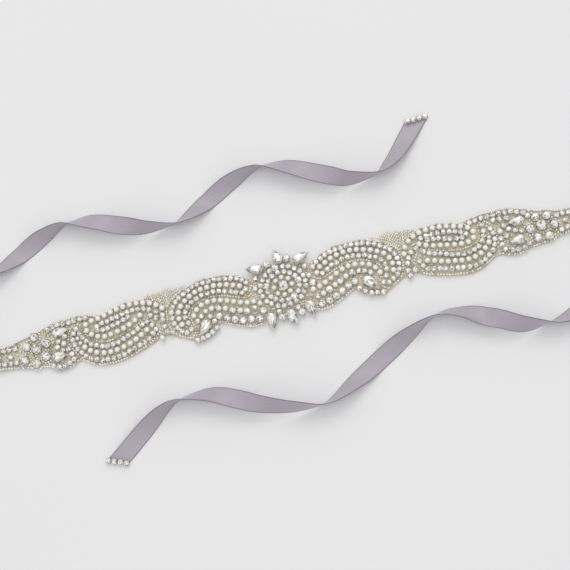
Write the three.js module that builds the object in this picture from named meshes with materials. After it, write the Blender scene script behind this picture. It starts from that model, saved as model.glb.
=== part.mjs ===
// Bridal sash laid out flat: a net band covered with rows of pearls and crystals, a sunburst of drop
// stones at its middle, and a narrow satin ribbon tie at each end.
// Millimetres, +Z up. +X runs along the band, z = 0 is the surface that the sash lies on, and the origin
// is under the middle of the sunburst. The left half of the band (-X) mirrors the right half, but for the
// stones and chains that lie differently on it.
import * as THREE from "three";

// Cloth
const NET_THICKNESS = 1;
const RIBBON_WIDTH = 10;
const RIBBON_THICKNESS = 1;
const SEAM_GAP = 0.3;

// The band's tail rises onto the ribbon that is sewn under it.
const TAIL_RISE_START = 150;
const TAIL_RISE_LENGTH = 14;
const TAIL_RISE = RIBBON_THICKNESS + SEAM_GAP;

// The left tail lies a little further over than the right one does.
const LEFT_SWAY = 2;
const SWAY_START = 118;
const SWAY_LENGTH = 30;

// Beads: radius of the sewn-down bead, its height, and the pitch of the kinds that stand in rows.
const BEADS = {
  pearl: { radius: 1.4, height: 3.2, pitch: 3.75 },
  crystal: { radius: 1.25, height: 2.3, pitch: 3.15 },
  wideCrystal: { radius: 1.8, height: 2.8, pitch: 4.4 },
  rosetteCrystal: { radius: 1.9, height: 2.9 },
  centreCrystal: { radius: 2.9, height: 3.8 },
};
// A bead's section across its string, as shares of its radius and its height.
const PEARL_SECTION = [
  [-1, 0],
  [-0.78, 0.72],
  [0, 1],
  [0.78, 0.72],
  [1, 0],
];
const CRYSTAL_SECTION = [
  [-1, 0],
  [-0.66, 1],
  [0.66, 1],
  [1, 0],
];
// The neck between two beads, as shares of the smaller one, and how far past its last bead a string runs.
const NECK_WIDTH = 0.5;
const NECK_HEIGHT = 0.45;
const BEAD_END = 0.9;

// Cut stones: the outline's share that the flat top and the foot keep, and the girdle's share of the height.
const STONE_SIDES = 8;
const STONE_TABLE = 0.55;
const STONE_GIRDLE = 0.45;
const STONE_FOOT = 0.8;

const COLOURS = {
  net: new THREE.MeshStandardMaterial({ color: 0xc9c1ab, roughness: 0.9 }),
  satin: new THREE.MeshStandardMaterial({ color: 0xa79eac, roughness: 0.4 }),
  pearl: new THREE.MeshStandardMaterial({ color: 0xeeeadd, roughness: 0.25 }),
  crystal: new THREE.MeshStandardMaterial({ color: 0xe6e8ee, roughness: 0.08, metalness: 0.6 }),
};

// The net's cut, from the middle of the band to the tip of its right tail.
const NET_EDGE = [
  { along: 0, top: 14.6, bottom: -13.4 },
  { along: 5, top: 14.4, bottom: -13.6 },
  { along: 10, top: 12.2, bottom: -13.4 },
  { along: 15, top: 10.8, bottom: -15.4 },
  { along: 20, top: 11.4, bottom: -16.2 },
  { along: 25, top: 13.6, bottom: -15.4 },
  { along: 30, top: 15.0, bottom: -13.4 },
  { along: 35, top: 15.8, bottom: -10.8 },
  { along: 38, top: 16.0, bottom: -10.4 },
  { along: 42, top: 15.9, bottom: -13.4 },
  { along: 46, top: 15.4, bottom: -15.8 },
  { along: 50, top: 14.5, bottom: -17.0 },
  { along: 53, top: 13.4, bottom: -16.6 },
  { along: 57, top: 12.6, bottom: -14.0 },
  { along: 61, top: 12.8, bottom: -12.2 },
  { along: 65, top: 13.8, bottom: -10.0 },
  { along: 69, top: 15.0, bottom: -9.4 },
  { along: 73, top: 14.6, bottom: -10.6 },
  { along: 77, top: 13.4, bottom: -12.8 },
  { along: 82, top: 13.4, bottom: -14.4 },
  { along: 88, top: 13.4, bottom: -15.8 },
  { along: 94, top: 12.4, bottom: -17.2 },
  { along: 100, top: 11.2, bottom: -17.5 },
  { along: 106, top: 11.8, bottom: -16.2 },
  { along: 111, top: 12.6, bottom: -13.2 },
  { along: 116, top: 12.9, bottom: -11.4 },
  { along: 121, top: 12.8, bottom: -12.9 },
  { along: 127, top: 12.2, bottom: -13.4 },
  { along: 132, top: 11.2, bottom: -12.0 },
  { along: 137, top: 8.8, bottom: -11.4 },
  { along: 142, top: 7.4, bottom: -11.4 },
  { along: 147, top: 6.4, bottom: -10.2 },
  { along: 152, top: 4.6, bottom: -8.8 },
  { along: 160, top: 4.2, bottom: -8.2 },
  { along: 170, top: 3.8, bottom: -7.0 },
  { along: 178, top: 2.8, bottom: -5.4 },
  { along: 182, top: 1.4, bottom: -4.0 },
  { along: 184, top: -0.4, bottom: -2.2 },
];
const NET_STEPS_PER_ROW = 2;

// Rows of one kind of bead on the right half of the band, each evenly spaced along a smooth line.
const ROWS = [
  {
    name: "crest_outer_crystals",
    bead: "crystal",
    line: [
      [20.2, 9.4],
      [26.5, 12.3],
      [33, 13.7],
      [40, 13.9],
      [47, 13],
      [53, 10.9],
      [58.3, 8],
      [61.8, 4],
      [63.1, -0.5],
      [62.5, -6.1],
      [59, -9.6],
      [55.6, -11.6],
    ],
  },
  {
    name: "crest_pearls",
    bead: "pearl",
    line: [
      [21.6, 6.2],
      [28, 9.3],
      [34.5, 10.9],
      [42, 10.7],
      [50, 8.4],
      [56.8, 4.6],
      [59.8, -0.3],
      [59.4, -5.5],
    ],
  },
  {
    name: "crest_inner_crystals",
    bead: "crystal",
    line: [
      [22.4, 2.6],
      [25.6, 4.4],
      [31, 6.7],
      [37.2, 7.8],
      [43.7, 7.2],
      [49.6, 5.1],
      [54.2, 1.9],
      [56.1, -2.4],
      [55.2, -7.2],
    ],
  },
  {
    name: "trough_pearls",
    bead: "pearl",
    line: [
      [15.4, -4.9],
      [19.6, -4],
      [25.6, -1.6],
      [32, 1.5],
      [38.5, 2.9],
      [45, 1.9],
      [50, -0.9],
      [52.2, -5],
    ],
  },
  {
    name: "trough_wide_crystals",
    bead: "wideCrystal",
    line: [
      [18.2, -13.6],
      [23, -12.9],
      [28, -10.9],
      [33, -8.3],
      [38, -6.3],
    ],
  },
  {
    name: "drop_arc_crystals",
    bead: "crystal",
    line: [
      [39.6, -10.8],
      [43, -13.6],
      [47.4, -15.4],
      [51.4, -15.9],
    ],
  },
  {
    name: "bridge_crystals",
    bead: "crystal",
    line: [
      [74.2, 3],
      [70.6, 1.2],
      [68.2, -2.2],
      [66.8, -7.6],
    ],
  },
  {
    name: "oval_pearls",
    bead: "pearl",
    line: [
      [67, 1.6],
      [68.4, 5],
      [71.8, 8.4],
      [77, 10.9],
      [84, 11.6],
      [91, 11],
      [98, 9.2],
      [104, 6.6],
      [106, 2.8],
      [103, -0.4],
      [97, -0.7],
      [88.5, 1],
      [81.5, 2.6],
      [76.2, 4.9],
    ],
  },
  {
    name: "oval_inner_crystals",
    bead: "crystal",
    line: [
      [78, 8],
      [84, 8.6],
      [91, 8],
      [98, 6.2],
      [101.6, 3.9],
      [98.6, 2.5],
      [92, 3.9],
      [85.5, 5.5],
      [81, 6],
    ],
  },
  {
    name: "swag_inner_crystals",
    bead: "crystal",
    line: [
      [77.4, 0.2],
      [83.5, -2.4],
      [89.5, -4.5],
      [96.3, -6.1],
      [102.7, -5.7],
      [106.9, -3.7],
      [109.7, -0.6],
      [110.9, 3.4],
      [111.2, 6.6],
    ],
  },
  {
    name: "swag_pearls",
    bead: "pearl",
    line: [
      [78.2, -5],
      [84.7, -7.2],
      [91.8, -9],
      [99.3, -9.9],
      [104, -9.3],
      [108.6, -6.9],
      [112, -3.6],
    ],
  },
  {
    name: "swag_outer_crystals",
    bead: "crystal",
    line: [
      [74, -4.2],
      [75.6, -8],
      [80.4, -10.2],
      [86, -11.6],
      [92, -13.2],
      [98.3, -14],
      [105, -13.1],
      [110.4, -10.3],
      [114, -6.8],
      [115.7, -2],
      [115, 3.6],
    ],
  },
  {
    name: "shoulder_crystals",
    bead: "crystal",
    line: [
      [105, 9.7],
      [109.5, 10.2],
      [115, 10.6],
      [121.5, 10.5],
      [128, 9.9],
      [133.8, 7.8],
    ],
  },
  {
    name: "shoulder_inner_crystals",
    bead: "crystal",
    line: [
      [117.4, 7.4],
      [121, 7.5],
      [124.4, 7.1],
    ],
  },
  {
    name: "tail_crystals",
    bead: "crystal",
    line: [
      [150.4, 2],
      [157, 1.7],
      [165, 1.3],
      [173, 0.6],
      [178.6, -1.5],
      [173, -3.8],
      [165, -4.8],
      [157, -5.4],
      [151, -6.3],
    ],
  },
];

// Chains of unlike beads on the right half, each bead at its own place.
const CHAINS = [
  {
    name: "trough_mixed_beads",
    beads: [
      { bead: "crystal", at: [17, -9.2] },
      { bead: "pearl", at: [20.2, -8.5] },
      { bead: "wideCrystal", at: [23.8, -7.2] },
      { bead: "pearl", at: [27.3, -5.6] },
      { bead: "wideCrystal", at: [30.7, -3.9] },
      { bead: "pearl", at: [34.1, -2.4] },
      { bead: "wideCrystal", at: [37.8, -1.5] },
      { bead: "crystal", at: [41.3, -1.4] },
      { bead: "crystal", at: [44.4, -2] },
      { bead: "crystal", at: [47.3, -3.5] },
    ],
  },
  {
    name: "side_mixed_beads",
    beads: [
      { bead: "crystal", at: [130.6, -1.6] },
      { bead: "crystal", at: [127.3, -0.8] },
      { bead: "crystal", at: [124.2, 0.7] },
      { bead: "crystal", at: [121.8, 3.3] },
      { bead: "pearl", at: [119.3, 0.6] },
      { bead: "crystal", at: [118.8, -3.2] },
      { bead: "crystal", at: [118.4, -6.6] },
      { bead: "crystal", at: [119.6, -9.8] },
      { bead: "crystal", at: [123, -10.9] },
      { bead: "crystal", at: [126.2, -11.3] },
      { bead: "crystal", at: [129.4, -11.1] },
      { bead: "crystal", at: [132.2, -9.2] },
    ],
  },
];

// Rosettes near the tails: one large crystal, then six smaller ones chained round it. The left one's
// places are mirrored, as all left-hand places are here.
const ROSETTES = {
  left: [
    [138.5, -0.9],
    [134.1, -5.9],
    [139.9, -9.2],
    [146.2, -6.2],
    [144.1, 1.3],
    [139.1, 5.8],
    [132.9, 1.1],
  ],
  right: [
    [141.3, -1.5],
    [135.1, -2.2],
    [137.6, -7.7],
    [143.6, -8.2],
    [147.7, -2.7],
    [145, 2.9],
    [139.4, 3.6],
  ],
};

// Drop stones on each half. The tip points along the angle, in degrees from the tail.
const SIDE_DROPS = {
  left: [
    { name: "trough_drop", at: [44.7, -9.3], halfWidth: 2.6, toTip: 6.4, height: 3.4, angle: -45 },
    { name: "upper_side_drop", at: [126.1, 6.2], halfWidth: 2.4, toTip: 6.8, height: 3.2, angle: 174 },
    { name: "lower_side_drop", at: [128.4, -7], halfWidth: 2.5, toTip: 6, height: 3.2, angle: 184 },
  ],
  right: [
    { name: "trough_drop", at: [44.6, -7.6], halfWidth: 2.6, toTip: 6.8, height: 3.4, angle: -46 },
    { name: "upper_side_drop", at: [130.8, 3.9], halfWidth: 2.3, toTip: 6.8, height: 3.2, angle: 182 },
    { name: "lower_side_drop", at: [128.2, -6.2], halfWidth: 2.5, toTip: 6.4, height: 3.2, angle: 179 },
  ],
};

// Rows and chains of the left half, where they aren't the right half's mirror image.
const LEFT_LINES = {
  crest_outer_crystals: [
    [19, 7.7],
    [21.9, 10.7],
    [27.3, 12.4],
    [34, 13.6],
    [41, 13.8],
    [47.3, 13.1],
    [53.2, 10.8],
    [58.5, 7.6],
    [61.6, 3.6],
    [62.4, -1.4],
    [61.2, -6],
    [58.9, -9.3],
    [56.2, -11.1],
    [53.2, -9.7],
  ],
  crest_pearls: [
    [22.9, 6.9],
    [28, 8.9],
    [34, 10.3],
    [41, 10.7],
    [47.5, 9.7],
    [53, 7],
    [57, 3.4],
    [58.9, -0.6],
    [58.5, -3.6],
    [57.7, -6.1],
  ],
  crest_inner_crystals: [
    [20.1, 4.8],
    [22.3, 2.7],
    [25.3, 4],
    [31, 6],
    [37.2, 7.4],
    [43.5, 7.2],
    [49.4, 5.3],
    [53.6, 2.3],
    [55.4, -1.6],
    [54.2, -5.8],
  ],
  trough_pearls: [
    [17.2, -3.3],
    [21.2, -3.1],
    [25, -1.9],
    [31.7, 0.7],
    [38.4, 2.5],
    [43.5, 2.3],
    [48.2, 0.2],
    [50.6, -3],
  ],
  trough_wide_crystals: [
    [20.7, -12.6],
    [25, -12],
    [29.2, -10.7],
    [33.1, -8.7],
    [36.9, -6.7],
  ],
  drop_arc_crystals: [
    [39.8, -12.4],
    [43.2, -14.6],
    [47, -16],
    [51.2, -16.6],
  ],
  bridge_crystals: [
    [67.2, 2.2],
    [67.8, -1],
    [67.4, -4.2],
    [66.4, -7.4],
  ],
  oval_pearls: [
    [66.8, 5.6],
    [69.5, 8.2],
    [72.9, 10],
    [80, 11.7],
    [87.5, 11.8],
    [95, 10.5],
    [102.3, 8.7],
    [107, 8.2],
    [110.3, 6.4],
    [109.3, 3.2],
    [106.6, 0.4],
    [102.6, -1.6],
    [97.5, -1.7],
    [88.8, 0.1],
    [84, 2],
    [79.3, 4.7],
  ],
  oval_inner_crystals: [
    [73.9, 6.7],
    [77, 7.9],
    [82, 8.5],
    [87, 8.3],
    [93, 7.1],
    [99, 5.9],
    [103, 5.3],
    [104.9, 3.6],
    [102.6, 1.8],
    [98.9, 2.1],
    [92.3, 3.8],
    [86.2, 5.4],
  ],
  swag_inner_crystals: [
    [76.4, 0.4],
    [82, -2.2],
    [88, -4.9],
    [94, -6.8],
    [99.8, -7.5],
    [105, -6.2],
    [109.2, -3.7],
    [112.2, -0.2],
    [113.7, 3.5],
  ],
  swag_pearls: [
    [77.2, -4.2],
    [82, -6.9],
    [88, -9.3],
    [94.4, -10.8],
    [99.8, -11],
    [105.5, -9.8],
    [109.3, -7.8],
    [112.3, -5.1],
  ],
  swag_outer_crystals: [
    [74.1, -2.3],
    [72.3, -4.8],
    [74.4, -7.2],
    [77.2, -9.2],
    [81, -10.9],
    [88.9, -13.5],
    [95.9, -14.7],
    [103, -14.4],
    [109.3, -12.1],
    [112.9, -9.8],
    [115.4, -6.4],
    [117.4, -3],
    [118.5, 0.3],
    [117.3, 3.6],
    [115.7, 6.4],
  ],
  shoulder_crystals: [
    [109.3, 11],
    [113, 11.2],
    [117.2, 11],
    [121.8, 10.8],
    [126.5, 10.4],
    [131.2, 8.8],
  ],
  shoulder_inner_crystals: [
    [122.4, 3.2],
    [126, 1.4],
  ],
};
const LEFT_CHAINS = {
  trough_mixed_beads: [
    { bead: "crystal", at: [17.6, -6.9] },
    { bead: "wideCrystal", at: [21.9, -7.9] },
    { bead: "pearl", at: [25.4, -6.4] },
    { bead: "wideCrystal", at: [29.3, -5.2] },
    { bead: "pearl", at: [32.9, -3.4] },
    { bead: "wideCrystal", at: [36.7, -2] },
    { bead: "pearl", at: [40.4, -1.4] },
    { bead: "crystal", at: [43.8, -2.1] },
    { bead: "crystal", at: [46.8, -4.2] },
    { bead: "crystal", at: [49.1, -6.6] },
  ],
  side_mixed_beads: [
    { bead: "pearl", at: [123.3, -0.3] },
    { bead: "crystal", at: [127.2, -1.9] },
    { bead: "crystal", at: [124.4, -3.9] },
    { bead: "crystal", at: [121.3, -3.9] },
    { bead: "crystal", at: [120.1, -6.8] },
    { bead: "crystal", at: [119.3, -9.9] },
    { bead: "crystal", at: [122, -11.5] },
    { bead: "crystal", at: [125.1, -12.3] },
    { bead: "crystal", at: [128.2, -12.6] },
    { bead: "crystal", at: [131.3, -11.6] },
  ],
};

// Sunburst at the middle of the band: rings round a large crystal, and drop stones pointing outwards.
const SUNBURST = { at: [0, 1], pearlRing: 4.9, pearls: 8, pearlAngle: 88 };
const SUNBURST_RINGS = [
  { name: "sunburst_inner_crystals", halfLength: 8.9, halfHeight: 7.9, crystals: 16, firstAngle: 8 },
  { name: "sunburst_outer_crystals", halfLength: 12.4, halfHeight: 10.9, crystals: 22, firstAngle: 0 },
];
const SUNBURST_DROPS = [
  { name: "sunburst_drop_top_left", at: [-11, 13.3], angle: 166, toTip: 6.8 },
  { name: "sunburst_drop_top", at: [0.7, 16.2], angle: 106, toTip: 5.6 },
  { name: "sunburst_drop_top_right", at: [11, 13.4], angle: 22, toTip: 6.2 },
  { name: "sunburst_drop_bottom_left", at: [-9.8, -14.2], angle: -96, toTip: 7 },
  { name: "sunburst_drop_bottom", at: [0.6, -15.1], angle: -70, toTip: 6.9 },
  { name: "sunburst_drop_bottom_right", at: [11.8, -12.8], angle: -80, toTip: 6.4 },
];
const SUNBURST_DROP_HALF_WIDTH = 2.5;
const SUNBURST_DROP_HEIGHT = 3.6;

// A tie's route, from the band's tail to the ribbon's free end. turn is how far the ribbon has rolled
// about its own length, in degrees: a multiple of 180 lies flat and an odd multiple of 90 stands on edge.
// lift is the height of the ribbon's lower edge above the surface.
const LEFT_TIE = [
  { along: -168, across: 0.4, turn: 0, lift: 0 },
  { along: -186, across: 0.4, turn: 0, lift: 0 },
  { along: -206, across: 0.6, turn: 0, lift: 0 },
  { along: -234, across: 3, turn: 70, lift: 0 },
  { along: -252, across: 21, turn: 90, lift: 0 },
  { along: -232, across: 40, turn: 90, lift: 0 },
  { along: -198, across: 43, turn: 94, lift: 0 },
  { along: -165, across: 46.5, turn: 105, lift: 0 },
  { along: -151.4, across: 50.3, turn: 139, lift: 0 },
  { along: -135.8, across: 57.7, turn: 190, lift: 0 },
  { along: -122.3, across: 62.9, turn: 237, lift: 0 },
  { along: -109.7, across: 66.5, turn: 285, lift: 0 },
  { along: -98, across: 63.6, turn: 327, lift: 4.4 },
  { along: -88, across: 59.6, turn: 350, lift: 7.4 },
  { along: -77, across: 54.8, turn: 383, lift: 6.6 },
  { along: -65.5, across: 51.3, turn: 423, lift: 3 },
  { along: -51.1, across: 50.2, turn: 465, lift: 0 },
  { along: -41.6, across: 53.2, turn: 499, lift: 0 },
  { along: -28, across: 60.4, turn: 545, lift: 0 },
  { along: -13.4, across: 66.6, turn: 588, lift: 0 },
  { along: 2.9, across: 70.3, turn: 645, lift: 0 },
  { along: 14.5, across: 66.5, turn: 685, lift: 4.4 },
  { along: 26, across: 60.3, turn: 714, lift: 7.8 },
  { along: 38, across: 53.8, turn: 742, lift: 6.8 },
  { along: 49, across: 49.4, turn: 780, lift: 3 },
  { along: 64.2, across: 49.1, turn: 825, lift: 0 },
  { along: 74, across: 54.9, turn: 862, lift: 0 },
  { along: 83.2, across: 64.2, turn: 884, lift: 0 },
  { along: 93.2, across: 75.4, turn: 900, lift: 0 },
];
const RIGHT_TIE = [
  { along: 168, across: -1.6, turn: 0, lift: 0 },
  { along: 186, across: -1.6, turn: 0, lift: 0 },
  { along: 206, across: -1.6, turn: 0, lift: 0 },
  { along: 236, across: 0, turn: 70, lift: 0 },
  { along: 252, across: -14, turn: 90, lift: 0 },
  { along: 232, across: -29, turn: 90, lift: 0 },
  { along: 198, across: -28, turn: 80, lift: 0 },
  { along: 181, across: -34, turn: 115, lift: 0 },
  { along: 164, across: -43, turn: 165, lift: 0 },
  { along: 147, across: -51, turn: 210, lift: 0 },
  { along: 132, across: -54.1, turn: 255, lift: 0 },
  { along: 117.1, across: -52, turn: 312, lift: 4.4 },
  { along: 103.2, across: -45.2, turn: 345, lift: 7.7 },
  { along: 89.4, across: -37.9, turn: 400, lift: 3.4 },
  { along: 76.2, across: -35.2, turn: 435, lift: 0 },
  { along: 60, across: -41, turn: 484, lift: 0 },
  { along: 45, across: -48.2, turn: 528, lift: 0 },
  { along: 27, across: -58, turn: 564, lift: 0 },
  { along: 8.6, across: -66.5, turn: 615, lift: 0 },
  { along: -7.3, across: -65.1, turn: 652, lift: 3.4 },
  { along: -24, across: -60, turn: 683, lift: 6.4 },
  { along: -38, across: -53.2, turn: 722, lift: 8 },
  { along: -50.1, across: -47.8, turn: 755, lift: 4.4 },
  { along: -65.1, across: -45.7, turn: 795, lift: 0 },
  { along: -76, across: -48.6, turn: 830, lift: 0 },
  { along: -90, across: -57.6, turn: 875, lift: 0 },
  { along: -106.8, across: -69.8, turn: 900, lift: 0 },
];
const TIE_STEPS = 5;
const TIE_SPLIT_ROW = 6;
const FLAT_SOFTENING = 0.012;
const CUT_LENGTH = 15;
const LEFT_CUT_SLANT = 4.7;
const RIGHT_CUT_SLANT = 3.4;
const TRIM_CRYSTALS = 4;
const TRIM_PITCH = 3.3;
const TRIM_INSET = 0.2;
const TRIM_GAP = 0.42;

const smoothstep = (t) => {
  const c = Math.min(1, Math.max(0, t));
  return c * c * (3 - 2 * c);
};
const radians = THREE.MathUtils.degToRad;

// Height of the net's underside above the surface.
function netLift(along) {
  return TAIL_RISE * smoothstep((Math.abs(along) - TAIL_RISE_START) / TAIL_RISE_LENGTH);
}

// How far the left tail lies over, added to a place across the band.
function sway(along) {
  return LEFT_SWAY * smoothstep((-along - SWAY_START) / SWAY_LENGTH);
}

// A closed body through rings with the same number of points. An open one gets flat ends. Faces that
// lie opposite each other are split along the same diagonal, so a twisted cloth keeps its thickness.
function loft(rings, looped = false) {
  const sides = rings[0].length;
  const points = rings.flat();
  const faces = [];
  const spans = looped ? rings.length : rings.length - 1;
  for (let i = 0; i < spans; i++) {
    const a = i * sides;
    const b = ((i + 1) % rings.length) * sides;
    for (let k = 0; k < sides; k++) {
      const n = (k + 1) % sides;
      if (k < sides / 2) faces.push(a + k, a + n, b + n, a + k, b + n, b + k);
      else faces.push(a + k, a + n, b + k, a + n, b + n, b + k);
    }
  }
  if (!looped) {
    const last = (rings.length - 1) * sides;
    for (let k = 1; k < sides - 1; k++) {
      faces.push(0, k + 1, k, last, last + k, last + k + 1);
    }
  }
  const geometry = new THREE.BufferGeometry().setFromPoints(points);
  geometry.setIndex(signedVolume(points, faces) < 0 ? faces.reverse() : faces);
  geometry.computeVertexNormals();
  return geometry;
}

function signedVolume(points, faces) {
  let volume = 0;
  for (let i = 0; i < faces.length; i += 3) {
    const [a, b, c] = [points[faces[i]], points[faces[i + 1]], points[faces[i + 2]]];
    volume += a.dot(b.clone().cross(c)) / 6;
  }
  return volume;
}

function part(name, geometry, material) {
  const mesh = new THREE.Mesh(geometry, material);
  mesh.name = name;
  return mesh;
}

// A smooth line through flat points, as a curve that can be measured.
function lineThrough(points) {
  return new THREE.CatmullRomCurve3(points.map(([x, y]) => new THREE.Vector3(x, y, 0)));
}

// Evenly spaced beads of one kind along a line, with one at each end.
function beadsAlong(line, bead) {
  const curve = lineThrough(line);
  const gaps = Math.round(curve.getLength() / BEADS[bead].pitch);
  return curve.getSpacedPoints(gaps).map((p) => ({ bead, at: [p.x, p.y] }));
}

// One ring of a bead string.
function beadRing(section, at, direction, halfWidth, height, bottom) {
  const side = new THREE.Vector3(-direction.y, direction.x, 0).normalize();
  return section.map(([across, up]) =>
    at
      .clone()
      .addScaledVector(side, across * halfWidth)
      .setZ(bottom + up * height),
  );
}

// A string of beads sewn down on the net: it swells to each bead and narrows to a neck between two.
function beadString(beads, { looped = false, bottomAt = null } = {}) {
  const section = beads.some(({ bead }) => bead === "pearl") ? PEARL_SECTION : CRYSTAL_SECTION;
  const count = beads.length;
  const centres = beads.map(({ at }) => new THREE.Vector3(at[0], at[1] + sway(at[0]), 0));
  const bottom = bottomAt ?? ((p) => netLift(p.x) + NET_THICKNESS + SEAM_GAP);
  const rings = [];
  const addRing = (at, direction, halfWidth, height) =>
    rings.push(beadRing(section, at, direction, halfWidth, height, bottom(at)));
  for (let i = 0; i < count; i++) {
    const { radius, height } = BEADS[beads[i].bead];
    const before = looped ? centres[(i + count - 1) % count] : centres[Math.max(i - 1, 0)];
    const after = looped ? centres[(i + 1) % count] : centres[Math.min(i + 1, count - 1)];
    const direction = after.clone().sub(before).normalize();
    const end = radius * BEAD_END;
    if (!looped && i === 0) {
      const tip = centres[i].clone().addScaledVector(direction, -end);
      addRing(tip, direction, radius * NECK_WIDTH, height * NECK_HEIGHT);
    }
    addRing(centres[i], direction, radius, height);
    if (!looped && i === count - 1) {
      const tip = centres[i].clone().addScaledVector(direction, end);
      addRing(tip, direction, radius * NECK_WIDTH, height * NECK_HEIGHT);
      continue;
    }
    const next = BEADS[beads[(i + 1) % count].bead];
    const share = radius / (radius + next.radius);
    const neck = centres[i].clone().lerp(after, share);
    const narrow = Math.min(radius, next.radius) * NECK_WIDTH;
    const low = Math.min(height, next.height) * NECK_HEIGHT;
    addRing(neck, after.clone().sub(centres[i]), narrow, low);
  }
  return loft(rings, looped);
}

// The net: one cloth, cut to the outline of the beadwork and mirrored about the middle.
function netGeometry() {
  const edge = (side) => lineThrough(NET_EDGE.map((row) => [row.along, row[side]]));
  const steps = (NET_EDGE.length - 1) * NET_STEPS_PER_ROW;
  const tops = edge("top").getPoints(steps);
  const bottoms = edge("bottom").getPoints(steps);
  const station = (i, mirror) => {
    const x = mirror * ((tops[i].x + bottoms[i].x) / 2);
    const top = tops[i].y + sway(x);
    const bottom = bottoms[i].y + sway(x);
    const low = netLift(x);
    const high = low + NET_THICKNESS;
    return [
      new THREE.Vector3(x, bottom, low),
      new THREE.Vector3(x, top, low),
      new THREE.Vector3(x, top, high),
      new THREE.Vector3(x, bottom, high),
    ];
  };
  const rings = [];
  for (let i = steps; i > 0; i--) rings.push(station(i, -1));
  for (let i = 0; i <= steps; i++) rings.push(station(i, 1));
  return loft(rings);
}

// A cut stone: straight sides up to its girdle, then facets drawn in to a smaller flat top.
function stoneGeometry(outline, { at, height, angle = 0 }) {
  const low = netLift(at[0]) + NET_THICKNESS + SEAM_GAP;
  const turned = (scale, z) =>
    outline.map((p) => {
      const q = p.clone().multiplyScalar(scale).rotateAround(new THREE.Vector2(), radians(angle));
      return new THREE.Vector3(at[0] + q.x, at[1] + sway(at[0]) + q.y, low + z);
    });
  return loft([turned(STONE_FOOT, 0), turned(1, STONE_GIRDLE * height), turned(STONE_TABLE, height)]);
}

function roundOutline(radius) {
  return Array.from({ length: STONE_SIDES }, (_, i) => {
    const a = (2 * Math.PI * i) / STONE_SIDES;
    return new THREE.Vector2(radius * Math.cos(a), radius * Math.sin(a));
  });
}

// A pear shape: an arc round the wide end, with straight sides running on to the tip.
function dropOutline({ halfWidth, toTip }) {
  const tangent = Math.acos(halfWidth / toTip);
  const arc = Array.from({ length: STONE_SIDES }, (_, i) => {
    const a = tangent + ((2 * Math.PI - 2 * tangent) * i) / (STONE_SIDES - 1);
    return new THREE.Vector2(halfWidth * Math.cos(a), halfWidth * Math.sin(a));
  });
  return [new THREE.Vector2(toTip, 0), ...arc];
}

function mirrored({ at, angle, ...rest }) {
  return { ...rest, at: [-at[0], at[1]], angle: 180 - angle };
}

// Turns places given on the right-hand side over to the left half.
const flip = (beads) => beads.map(({ bead, at }) => ({ bead, at: [-at[0], at[1]] }));

const rosetteBeads = (side) =>
  ROSETTES[side].map((at, i) => ({ bead: i === 0 ? "centreCrystal" : "rosetteCrystal", at }));

function ringBeads(bead, count, halfLength, halfHeight, firstAngle) {
  const [x, y] = SUNBURST.at;
  return Array.from({ length: count }, (_, i) => {
    const a = radians(firstAngle + (360 * i) / count);
    return { bead, at: [x + halfLength * Math.cos(a), y + halfHeight * Math.sin(a)] };
  });
}

function buildSunburst() {
  const { at, pearlRing, pearls, pearlAngle } = SUNBURST;
  const { radius, height } = BEADS.centreCrystal;
  const centre = stoneGeometry(roundOutline(radius), { at, height });
  const pearlBeads = ringBeads("pearl", pearls, pearlRing, pearlRing, pearlAngle);
  const parts = [
    part("sunburst_centre_crystal", centre, COLOURS.crystal),
    part("sunburst_pearls", beadString(pearlBeads, { looped: true }), COLOURS.pearl),
  ];
  for (const { name, halfLength, halfHeight, crystals, firstAngle } of SUNBURST_RINGS) {
    const beads = ringBeads("crystal", crystals, halfLength, halfHeight, firstAngle);
    parts.push(part(name, beadString(beads, { looped: true }), COLOURS.crystal));
  }
  for (const drop of SUNBURST_DROPS) {
    const stone = { ...drop, halfWidth: SUNBURST_DROP_HALF_WIDTH, height: SUNBURST_DROP_HEIGHT };
    parts.push(part(drop.name, stoneGeometry(dropOutline(stone), stone), COLOURS.crystal));
  }
  return parts;
}

function buildHalf(side) {
  const left = side === "left";
  const place = left ? flip : (beads) => beads;
  const parts = [];
  for (const { name, bead, line } of ROWS) {
    const ownLine = left ? (LEFT_LINES[name] ?? line) : line;
    const beads = place(beadsAlong(ownLine, bead));
    const material = bead === "pearl" ? COLOURS.pearl : COLOURS.crystal;
    parts.push(part(`${side}_${name}`, beadString(beads), material));
  }
  for (const { name, beads } of CHAINS) {
    const ownBeads = left ? LEFT_CHAINS[name] : beads;
    parts.push(part(`${side}_${name}`, beadString(place(ownBeads)), COLOURS.crystal));
  }
  parts.push(part(`${side}_rosette`, beadString(place(rosetteBeads(side))), COLOURS.crystal));
  for (const drop of SIDE_DROPS[side]) {
    const placed = left ? mirrored(drop) : drop;
    const stone = stoneGeometry(dropOutline(placed), placed);
    parts.push(part(`${side}_${drop.name}`, stone, COLOURS.crystal));
  }
  return parts;
}

// 0 on the flat and 1 on edge, with no kink where the ribbon rocks from one edge to the other.
function softRise(sine) {
  const low = Math.sqrt(FLAT_SOFTENING);
  const high = Math.sqrt(1 + FLAT_SOFTENING);
  return (Math.sqrt(sine ** 2 + FLAT_SOFTENING) - low) / (high - low);
}

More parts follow.
